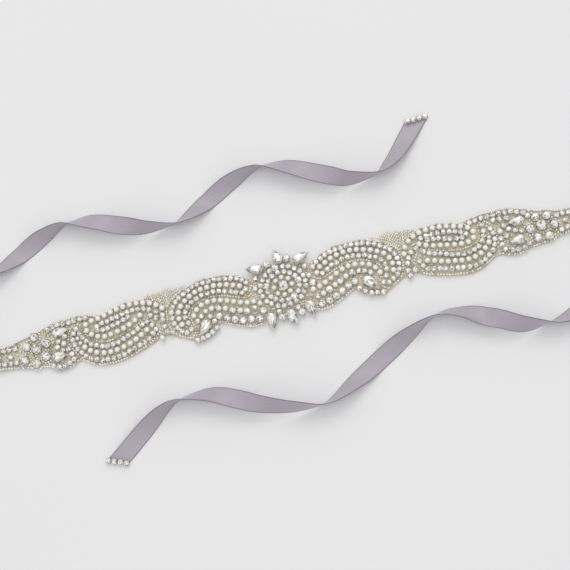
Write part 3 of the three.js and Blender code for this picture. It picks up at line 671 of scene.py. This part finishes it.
# These values pick each seed bead's place on the seed glass ramp: its colour, and a brightness that is
# partly the bead's own tone and partly a painted glint.
GOLD_TONES = (0.08, 0.36, 0.45, 0.48)
SILVER_TONES = (0.6, 0.75, 0.9, 0.97, 1.0)
GOLD_ROWS = [
    [(17.7, 1.3), (20.7, 0), (24.7, 1.1), (28, 2.4), (31.4, 3.8), (35.2, 4.6), (38.4, 5), (41.8, 5),
     (44.8, 4.4), (47.8, 3.3), (50.5, 1.5), (52.8, -0.5), (53.6, -2.7), (52.7, -5.2), (51.6, -8),
     (51.3, -11), (53, -14)],
    [(57.8, 11), (60.8, 8.8), (64, 5.6), (65.2, 1.2), (65.1, -3), (64.2, -7), (61.8, -10.6),
     (57.6, -13), (53.6, -14.6)],
]
SIDE_GOLD_ROWS = {
    "left": [
        [(77.4, 2.2), (74.4, 0.4), (72, -2), (70.2, -4.6), (71.6, -7.4), (74.4, -9.8), (77.4, -11.6)],
        [(79.4, 1.4), (83, -0.2), (88, -2), (92, -3.4), (96.4, -4.4), (100.6, -4.6), (103.9, -3.8),
         (107, -1.7), (109.4, 0.6), (111.4, 3.4), (112.4, 6.2), (113.6, 8.4), (116.2, 8.8), (118.4, 7.4),
         (119.8, 5), (120.6, 2.6), (120.9, -0.4), (119.6, -3.6), (118, -6.2), (116.4, -8.6),
         (114.2, -10.8), (111.4, -13.4), (107.7, -15.4), (104.6, -16.4), (99, -16.8), (93.6, -16.6),
         (88, -15.4), (82.5, -13.4), (77.4, -11.6)],
        [(17.4, 10), (16.4, 7.4), (17.4, 4.4), (19.6, 2)],
    ],
    "right": [
        [(78.4, 1.2), (74.8, 1.6), (72.6, -1.4), (70.7, -4.1), (70.2, -6.6), (72.6, -9.6), (76.6, -12)],
        [(79, 1.3), (82, -0.2), (87, -1.7), (92, -2.6), (96.7, -3.2), (102.2, -3), (105.6, -2),
         (107.8, 0), (108.7, 2.6), (108.6, 5.4), (109.6, 8), (112.4, 8.6), (115, 6.6), (116.8, 4),
         (117.2, 0.6), (117, -2), (116.4, -5), (115.1, -8), (112.6, -11.2), (109.4, -13.4), (105.5, -15.3),
         (101.5, -16.4), (96.5, -16.6), (91.5, -16), (86.5, -15), (81.5, -13.6), (76.6, -12)],
    ],
}
SILVER_ROWS = [
    [(17.4, 8.6), (20, 10.8), (25, 13.9), (30, 15.2), (35, 15.9), (42, 16), (48, 15), (53, 13.2),
     (58, 11.2)],
    [(14.5, -15.8), (19.5, -16.6), (24.5, -15.4), (29.6, -13.2), (34.6, -10.7), (38, -9.2)],
    [(71, 9.6), (74.9, 12.4), (77.9, 13.2), (81.9, 13.6), (86.9, 13.7), (91.9, 12.9), (95.9, 11.8),
     (100, 10.4), (103, 9)],
    [(101.8, 9.8), (104.8, 11.2), (108.9, 12.2), (112.9, 12.7), (117.9, 12.7), (122.9, 12.4), (126.9, 12),
     (129.9, 11.3), (132.8, 10.4), (136.8, 8.6), (141, 7.2), (147, 6), (151.4, 4.4), (158, 4), (166, 3.6),
     (173, 2.9), (179, 1.6), (182.4, -1.2), (179, -4.6), (173, -6.2), (166, -7), (158, -7.8), (151, -8.8),
     (145, -10.2), (138, -11), (132.6, -11.4)],
    [(117.6, -9.4), (119.4, -12), (123, -13), (127, -13.2), (131, -12.4)],
]

seed_glass, shader, start = new_material("seed_glass", {
    "Coat Weight": 1.0, "Coat Roughness": 0.05, "IOR": 1.55,
})
# Each bead's value picks its colour from this ramp, champagne below the middle and silver above it. How
# bright a bead is within its colour is partly its own tone and partly a painted glint.
seed_tone_and_painted_glint = start.node("Attribute", {"attribute_name": "glint"}, {}, out="Fac")
seed_colours_and_painted_glints = [
    (0.0, (0.50, 0.41, 0.26)), (0.25, (0.84, 0.77, 0.60)), (0.48, (0.99, 0.95, 0.84)),
    (0.52, (0.48, 0.44, 0.37)), (0.75, (0.85, 0.82, 0.75)), (1.0, (1.0, 0.98, 0.94)),
]
feed(shader, "Base Color", start.node("ValToRGB", {"stops": seed_colours_and_painted_glints}, {0: seed_tone_and_painted_glint}))
feed(shader, "Metallic", seed_tone_and_painted_glint * 0.2 + 0.02)
feed(shader, "Roughness", 0.36 - seed_tone_and_painted_glint * 0.14)

seed = bmesh.new()
bmesh.ops.create_uvsphere(seed, u_segments=6, v_segments=4, radius=1)
seed = in_order(seed)
for face in seed.faces:
    face.smooth = True
seed_bead = small_shape("seed_bead", seed)


def smooth_place(rows, i, share):
    """A place between one row and the next, on a smooth line through all the rows."""
    here, after = Vector(rows[i]), Vector(rows[i + 1])
    before = Vector(rows[i - 1]) if i else 2 * here - after
    beyond = Vector(rows[i + 2]) if i + 2 < len(rows) else 2 * after - here
    bend = 2 * before - 5 * here + 4 * after - beyond
    twist = 3 * here - before - 3 * after + beyond
    return 0.5 * (2 * here + (after - before) * share + bend * share ** 2 + twist * share ** 3)


def even_places(rows, pitch):
    """Places at one pitch along a smooth line, each with the line's direction there."""
    spans = range(len(rows) - 1)
    line = [smooth_place(rows, i, j / LINE_STEPS) for i in spans for j in range(LINE_STEPS)]
    line.append(Vector(rows[-1]))
    places, left = [], 0.0
    for here, after in zip(line, line[1:]):
        step = (after - here).length
        while left < step:
            places.append((here.lerp(after, left / step), (after - here).normalized()))
            left += pitch
        left -= step
    return places


def pushed_clear(spot, radius):
    """The place nearest to a spot where a bead lies clear of its neighbours, or none."""
    near = [(other.xy, reach) for other, reach in taken if (spot.xy - other.xy).length < SEED_NEAR]
    for _ in range(3):
        for other, reach in near:
            apart = spot.xy - other
            if apart.length < reach + radius:
                spot.xy = other + apart.normalized() * (reach + radius)
    if any((spot.xy - other).length < reach + radius - 0.2 for other, reach in near):
        return None
    return spot


def add_seed(shape, layer, place, direction, tones, radius=SEED_RADIUS, length=SEED_LENGTH):
    turn = direction.to_3d().to_track_quat("X", "Z").to_matrix().to_4x4()
    centre = place + Vector((chance.uniform(-0.08, 0.08), chance.uniform(-0.08, 0.08), radius))
    size = Matrix.Diagonal((length, radius, radius, 1))
    before = len(shape.faces)
    add_copy(shape, seed_bead, Matrix.Translation(centre) @ turn @ size)
    shape.faces.ensure_lookup_table()
    tone = chance.choice(tones)
    for face in shape.faces[before:]:
        face[layer] = tone


for side, way in zip(SIDES, (-1, 1)):
    edging = bmesh.new()
    glint = edging.faces.layers.float.new("glint")
    sewn = []
    for tones, rows in ((GOLD_TONES, GOLD_ROWS + SIDE_GOLD_ROWS[side]), (SILVER_TONES, SILVER_ROWS)):
        for row in rows:
            for place, direction in even_places(row, SEED_PITCH):
                spot = pushed_clear(on_net(way * place.x, place.y), SEED_RADIUS - SEED_TUCK)
                least = SEED_PITCH * LEAST_SEED_GAP
                if spot and all((spot - other).length > least for other in sewn):
                    sewn.append(spot)
                    add_seed(edging, glint, spot, Vector((way * direction.x, direction.y)), tones)
    for place, height in string_beads(f"{side}_rosette"):
        kind = "centre" if height > CENTRE_FROM else "rosette"
        ring = CRYSTAL_SIZES[kind][0] + SEED_RADIUS - 0.1
        count = round(2 * math.pi * ring / SEED_PITCH)
        for i in range(count):
            turn = 2 * math.pi * i / count
            spot = place + Vector((ring * math.cos(turn), ring * math.sin(turn), 0))
            clear = has_room(spot, SEED_RADIUS - SEED_TUCK)
            least = SEED_PITCH * LEAST_RING_GAP
            if clear and all((spot - other).length > least for other in sewn):
                sewn.append(spot)
                around = Vector((-math.sin(turn), math.cos(turn)))
                add_seed(edging, glint, spot, around, GOLD_TONES + SILVER_TONES[-2:])
    taken.extend((spot, SEED_RADIUS) for spot in sewn)
    make_piece(f"{side}_seed_edging", edging, [seed_glass])


# Fringe patches: between the crest scroll and the oval, short strands of seed beads run up over the
# net to the band's top edge, where their ends stand free.
FRINGE_ROOTS = [
    (75.6, 11.9), (71.4, 9.8), (68.4, 7.6), (66.2, 5.2), (65.2, 5.6), (62.6, 8.6), (58.6, 11.4), (53, 13.9),
]
FRINGE_TIPS = [
    (77.4, 14.2), (73.6, 15), (70, 15.4), (66.8, 15.6), (63.4, 16.2), (60.4, 16.4), (56.6, 15.6),
    (52.4, 15.2),
]
FRINGE_TONES = (0.34, 0.4, 0.74, 0.8)
FRINGE_PITCH = 1.7
STRAND_PITCH = 1.15
FRINGE_SEED = {"radius": 0.5, "length": 0.95}
FRINGE_ROOM = 0.45
for side, way in zip(SIDES, (-1, 1)):
    fringe = bmesh.new()
    glint = fringe.faces.layers.float.new("glint")
    roots = even_places(FRINGE_ROOTS, STRAND_PITCH)
    for i, (root, _) in enumerate(roots):
        share = i / (len(roots) - 1) * (len(FRINGE_TIPS) - 1)
        step = min(int(share), len(FRINGE_TIPS) - 2)
        tip = smooth_place(FRINGE_TIPS, step, share - step)
        tip += Vector((chance.uniform(-0.3, 0.3), chance.uniform(-0.8, 0.5)))
        for place, direction in even_places([root, tip], FRINGE_PITCH):
            spot = on_net(way * place.x, place.y)
            if has_room(spot, 0.1):
                taken.append((spot, FRINGE_ROOM))
                along = Vector((way * direction.x, direction.y))
                add_seed(fringe, glint, spot, along, FRINGE_TONES, **FRINGE_SEED)
    make_piece(f"{side}_fringe_patch", fringe, [seed_glass])


# Ground beads: single champagne and silver seed beads sewn on the net. They lie thick round the
# sunburst, below the trough scroll and beside its drop stone, and thinner round the rosettes. Along
# the scrolls the net itself shows.
GROUND_END = 182
GROUND_PITCH = 1.4
GROUND_SHARES = [(0, 0.9), (18, 0.08), (110, 0.5), (146, 0.6)]
THICK_GROUND = [(18, 40, -22, -8), (43, 57, -20, -7), (66, 80, -12, 6), (38, 46, -8, -4), (12, 22, 2, 16)]
THICK_SHARE = 0.9
GROUND_SEED = {"radius": 0.58, "length": 0.66}
GROUND_ROOM = 0.3
NET_HEM = 0.7


def net_span(along):
    """The two edges of the net at a place along the band."""
    place, low, high = min(net_cuts, key=lambda cut: abs(cut[0] - along))
    return low + NET_HEM, high - NET_HEM


for side, way in zip(SIDES, (-1, 1)):
    ground = bmesh.new()
    glint = ground.faces.layers.float.new("glint")
    for i in range(round(GROUND_END / GROUND_PITCH)):
        along = way * i * GROUND_PITCH
        share = max((start, share) for start, share in GROUND_SHARES if start <= abs(along))[1]
        low, high = net_span(along)
        near = [(spot, reach) for spot, reach in taken if abs(spot.x - along) < SEED_NEAR]
        for j in range(round((high - low) / GROUND_PITCH) + 1):
            spot = Vector((along + chance.uniform(-0.3, 0.3), low + j * GROUND_PITCH, net_top(along)))
            thick = any(
                start < abs(along) < end and bottom < spot.y < head
                for start, end, bottom, head in THICK_GROUND
            )
            sparse = chance.random() > (THICK_SHARE if thick else share)
            clear = all((spot.xy - other.xy).length > reach + GROUND_ROOM for other, reach in near)
            if clear and not sparse:
                turn = Vector((chance.uniform(-1, 1), chance.uniform(-1, 1)))
                add_seed(ground, glint, spot, turn, GOLD_TONES + SILVER_TONES, **GROUND_SEED)
    make_piece(f"{side}_ground_beads", ground, [seed_glass])


# Satin ties: one length of double-faced satin ribbon at each end, ten millimetres wide, sewn under
# the band's tail. Each comes back beside the band and lies there in loose curls, from edge to edge.
RIBBON_HALF = 5
RIBBON_WALL = 0.4
FLAT_SOFTENING = 0.012
CUT_LENGTH = 15
TIE_STEPS = 8
SELVEDGE_STEPS = (-1, -0.93, -0.62, -0.31, 0, 0.31, 0.62, 0.93, 1)
PICK_PITCH = 0.00045
TIES = {
    "left": {"length": 0.477, "slant": 4.7, "rows": [
        (-168, 0.4, 0, 0), (-186, 0.4, 0, 0), (-206, 0.6, 0, 0), (-234, 3, 70, 0), (-252, 21, 90, 0),
        (-232, 40, 90, 0), (-198, 43, 94, 0), (-165, 46.5, 105, 0), (-151.4, 50.3, 139, 0),
        (-135.8, 57.7, 190, 0), (-122.3, 62.9, 237, 0), (-109.7, 66.5, 285, 0), (-98, 63.6, 327, 4.4),
        (-88, 59.6, 350, 7.4), (-77, 54.8, 383, 6.6), (-65.5, 51.3, 423, 3), (-51.1, 50.2, 465, 0),
        (-41.6, 53.2, 499, 0), (-28, 60.4, 545, 0), (-13.4, 66.6, 588, 0), (2.9, 70.3, 645, 0),
        (14.5, 66.5, 685, 4.4), (26, 60.3, 714, 7.8), (38, 53.8, 742, 6.8), (49, 49.4, 780, 3),
        (64.2, 49.1, 825, 0), (74, 54.9, 862, 0), (83.2, 64.2, 884, 0), (93.2, 75.4, 900, 0),
    ]},
    "right": {"length": 0.487, "slant": 3.4, "rows": [
        (168, -1.6, 0, 0), (186, -1.6, 0, 0), (206, -1.6, 0, 0), (236, 0, 70, 0), (252, -14, 90, 0),
        (232, -29, 90, 0), (198, -28, 80, 0), (181, -34, 115, 0), (164, -43, 165, 0), (147, -51, 210, 0),
        (132, -54.1, 255, 0), (117.1, -52, 312, 4.4), (103.2, -45.2, 345, 7.7), (89.4, -37.9, 400, 3.4),
        (76.2, -35.2, 435, 0), (60, -41, 484, 0), (45, -48.2, 528, 0), (27, -58, 564, 0),
        (8.6, -66.5, 615, 0), (-7.3, -65.1, 652, 3.4), (-24, -60, 683, 6.4), (-38, -53.2, 722, 8),
        (-50.1, -47.8, 755, 4.4), (-65.1, -45.7, 795, 0), (-76, -48.6, 830, 0), (-90, -57.6, 875, 0),
        (-106.8, -69.8, 900, 0),
    ]},
}

satin, shader, start = new_material("satin", {
    "Specular IOR Level": 0.45, "Sheen Weight": 0.2, "Sheen Roughness": 0.4,
    "Sheen Tint": (0.85, 0.85, 1.0, 1.0), "Anisotropic": 0.4,
})
satin_cut = start.node("UVMap", {"uv_map": "cut"}, {}, out="UV")
satin_along = start.node("SeparateXYZ", {}, {0: satin_cut}, out="X")
satin_across = start.node("SeparateXYZ", {}, {0: satin_cut}, out="Y")
stretch = start.node("CombineXYZ", {}, {0: satin_along * 60, 1: satin_across * 2600, 2: 0.0})
floats = start.node("TexNoise", {}, {"Vector": stretch, "Scale": 1.0, "Detail": 3.0}, out="Fac")
picks = start.node("Math", {"operation": "SINE"}, {0: satin_along * (2 * math.pi / PICK_PITCH)})
from_edge = RIBBON_HALF * MM - start.node("Math", {"operation": "ABSOLUTE"}, {0: satin_across})
selvedge = start.node("MapRange", {"interpolation_type": "SMOOTHSTEP"}, {
    "Value": from_edge, "From Min": 0.0002, "From Max": 0.0007, "To Min": 1.0, "To Max": 0.0})
satin_face = mixed(floats, (0.40, 0.355, 0.415, 1), (0.50, 0.46, 0.52, 1))
feed(shader, "Base Color", mixed(selvedge * 0.75, satin_face, (0.21, 0.175, 0.22, 1)))
feed(shader, "Roughness", floats * 0.16 + selvedge * 0.2 + 0.30)
weave = start.node("Bump", {}, {"Strength": 0.25, "Distance": 0.00005, "Height": picks * 0.3 + floats})
feed(shader, "Normal", weave)


def ribbon_sections(rows, slant):
    """The ribbon's middle, its direction and its way across, at close steps along the tie."""
    spans = range(len(rows) - 1)
    places = [smooth_place(rows, i, j / TIE_STEPS) for i in spans for j in range(TIE_STEPS)]
    places.append(Vector(rows[-1]))
    low, high = math.sqrt(FLAT_SOFTENING), math.sqrt(1 + FLAT_SOFTENING)
    centres = []
    for along, across, turn, lift in places:
        sine, cosine = math.sin(math.radians(turn)), math.cos(math.radians(turn))
        rise = (math.sqrt(sine ** 2 + FLAT_SOFTENING) - low) / (high - low)
        height = RIBBON_HALF * rise + RIBBON_WALL / 2 * abs(cosine) + max(0, lift)
        centres.append(Vector((along, across, height)))
    sections = []
    for i, centre in enumerate(centres):
        forward = (centres[min(i + 1, len(centres) - 1)] - centres[max(i - 1, 0)]).normalized()
        left = Vector((0, 0, 1)).cross(forward).normalized()
        turn = math.radians(places[i][2])
        across = left * math.cos(turn) + forward.cross(left) * math.sin(turn)
        cut = slant * max(0, 1 - (centre - centres[-1]).length / CUT_LENGTH)
        sections.append((centre, forward, across, cut))
    return sections


def make_tie(side, length, slant, rows):
    sections = ribbon_sections(rows, slant)
    ribbon = bmesh.new()
    spans, strips = len(sections) - 1, len(SELVEDGE_STEPS) - 1
    bmesh.ops.create_grid(ribbon, x_segments=spans, y_segments=strips, size=0.5)
    cut_map = ribbon.loops.layers.uv.new("cut")
    for face in ribbon.faces:
        face.smooth = True
        for loop in face.loops:
            share = loop.vert.co.x + 0.5
            side_step = SELVEDGE_STEPS[round((loop.vert.co.y + 0.5) * strips)]
            loop[cut_map].uv = (share * length, side_step * RIBBON_HALF * MM)
    for corner in ribbon.verts:
        centre, forward, across, cut = sections[round((corner.co.x + 0.5) * spans)]
        side_step = SELVEDGE_STEPS[round((corner.co.y + 0.5) * strips)]
        corner.co = centre + across * side_step * RIBBON_HALF + forward * side_step * cut
        corner.co.z = max(RIBBON_WALL / 2, corner.co.z)
    nodes = [f"{side}_tie_loop", f"{side}_tie_tail"]
    tie = make_piece(f"{side}_satin_tie", ribbon, [satin], nodes)
    wall = tie.modifiers.new("wall", "SOLIDIFY")
    wall.thickness = RIBBON_WALL * MM
    wall.offset = 0
    return tie


# Tie trims: four crystals of a silver cup chain, sewn along each ribbon's slanting cut end so that
# it can't fray.
for side in SIDES:
    tie = make_tie(side, **TIES[side])
    trim_node = f"{side}_tie_trim"
    trim = bmesh.new()
    for place, height in string_beads(trim_node):
        add_crystal(trim, Vector((place.x, place.y, RIBBON_WALL)), lean=3)
    paint_facet_glints(trim)
    trim_piece = make_piece(f"{side}_cup_chain_trim", trim, [facet_glass, silver], [trim_node])
